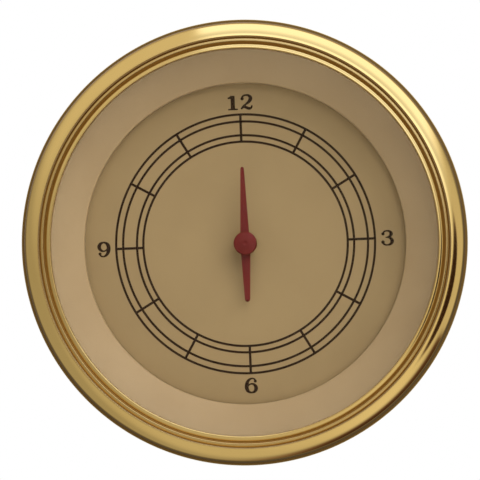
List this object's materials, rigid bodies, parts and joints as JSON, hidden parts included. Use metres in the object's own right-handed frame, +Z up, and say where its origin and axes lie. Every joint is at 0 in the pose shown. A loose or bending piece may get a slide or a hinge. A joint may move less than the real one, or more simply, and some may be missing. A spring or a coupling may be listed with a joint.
{
  "type": "dashboard clock",
  "caption": "Round panel-mounted dashboard clock with a stepped gold bezel, tan recessed dial, red hands, a drawn can, rear studs and a geared quartz stepping movement.",
  "frame": {"origin": "on the clock's axis, at the panel face that the back of the bezel rests on", "axes": "+Z up towards twelve o'clock, the dial faces -Y, +Y runs back along the can"},
  "size_m": [0.092, 0.072, 0.092],
  "materials": {
    "gold_bezel": "bright gold plate with a fine turned grain",
    "lens_glass": "clear flat glass",
    "seal_rubber": "soft black rubber",
    "trim_tan": "satin tan paint",
    "dial_tan": "matt khaki-tan paint with black-brown print",
    "can_steel": "dull zinc plate",
    "brass": "plain brass",
    "steel": "bright zinc plate",
    "spring_bronze": "spring bronze",
    "soft_iron": "dull soft iron",
    "copper_wire": "lacquered copper wire",
    "acetal": "natural acetal",
    "ferrite": "sintered magnet",
    "board_green": "lacquered board",
    "black_plastic": "black moulded plastic",
    "blade_brass": "tinned brass",
    "bulb_glass": "clear bulb glass",
    "hand_red": "satin red paint"
  },
  "bodies": {
    "clock_case": {"bezel": "gold_bezel", "lens": "lens_glass", "lens_seal": "seal_rubber", "trim_ring": "trim_tan", "case_can": "can_steel", "dial": "dial_tan", "dial_screws": "steel", "dial_posts": "brass", "front_plate": "brass", "centre_bush": "brass", "minute_post": "steel", "back_plate": "brass", "pillars": "brass", "pillar_screws": "steel", "stator": "soft_iron", "stator_spacers": "brass", "stator_screws": "steel", "coil_core": "soft_iron", "coil_bobbin": "acetal", "coil_winding": "copper_wire", "circuit_board": "board_green", "board_spacers": "brass", "board_screws": "steel", "crystal": "steel", "driver_chip": "black_plastic", "capacitor": "black_plastic", "mounting_studs": "steel", "stud_washers": "steel", "stud_nuts": "steel", "terminal_block": "black_plastic", "terminal_blades": "blade_brass", "terminal_rivets": "steel", "lamp_holder": "black_plastic", "lamp_bulb": "bulb_glass", "setting_bush": "brass", "bush_nut": "brass"},
    "minute": {"minute_hand": "hand_red", "cannon_pinion": "steel", "centre_arbor": "steel", "centre_wheel": "brass", "clutch_spring": "spring_bronze"},
    "hour": {"hour_hand": "hand_red", "hour_wheel": "brass"},
    "motion": {"minute_wheel": "brass", "minute_pinion": "steel"},
    "setting": {"setting_pinion": "steel", "setting_arbor": "steel", "setting_knob": "black_plastic"},
    "train": {"train_wheel": "acetal", "train_arbor": "steel"},
    "rotor": {"rotor_arbor": "acetal", "rotor_magnet": "ferrite"}
  },
  "joints": [
    {"name": "minute_turn", "type": "hinge", "parent": "clock_case", "child": "minute", "pos_m": [0, 0.006, 0], "axis": [0, 1, 0], "continuous": true},
    {"name": "hour_turn", "type": "hinge", "parent": "clock_case", "child": "hour", "pos_m": [0, 0.006, 0], "axis": [0, 1, 0], "continuous": true},
    {"name": "motion_turn", "type": "hinge", "parent": "clock_case", "child": "motion", "pos_m": [0.006, 0.012, -0.01039], "axis": [0, 1, 0], "continuous": true},
    {"name": "setting_turn", "type": "hinge", "parent": "clock_case", "child": "setting", "pos_m": [0, 0.03, -0.02078], "axis": [0, 1, 0], "continuous": true},
    {"name": "train_turn", "type": "hinge", "parent": "clock_case", "child": "train", "pos_m": [-0.01455, 0.022, 0.0084], "axis": [0, 1, 0], "continuous": true},
    {"name": "rotor_turn", "type": "hinge", "parent": "clock_case", "child": "rotor", "pos_m": [-0.00352, 0.022, 0.01766], "axis": [0, 1, 0], "continuous": true}
  ],
  "couplings": [
    {"joint": "hour_turn", "follows": "minute_turn", "ratio": 0.083333},
    {"joint": "motion_turn", "follows": "minute_turn", "ratio": -0.33333},
    {"joint": "setting_turn", "follows": "minute_turn", "ratio": 1},
    {"joint": "train_turn", "follows": "minute_turn", "ratio": -6},
    {"joint": "rotor_turn", "follows": "minute_turn", "ratio": 30}
  ]
}
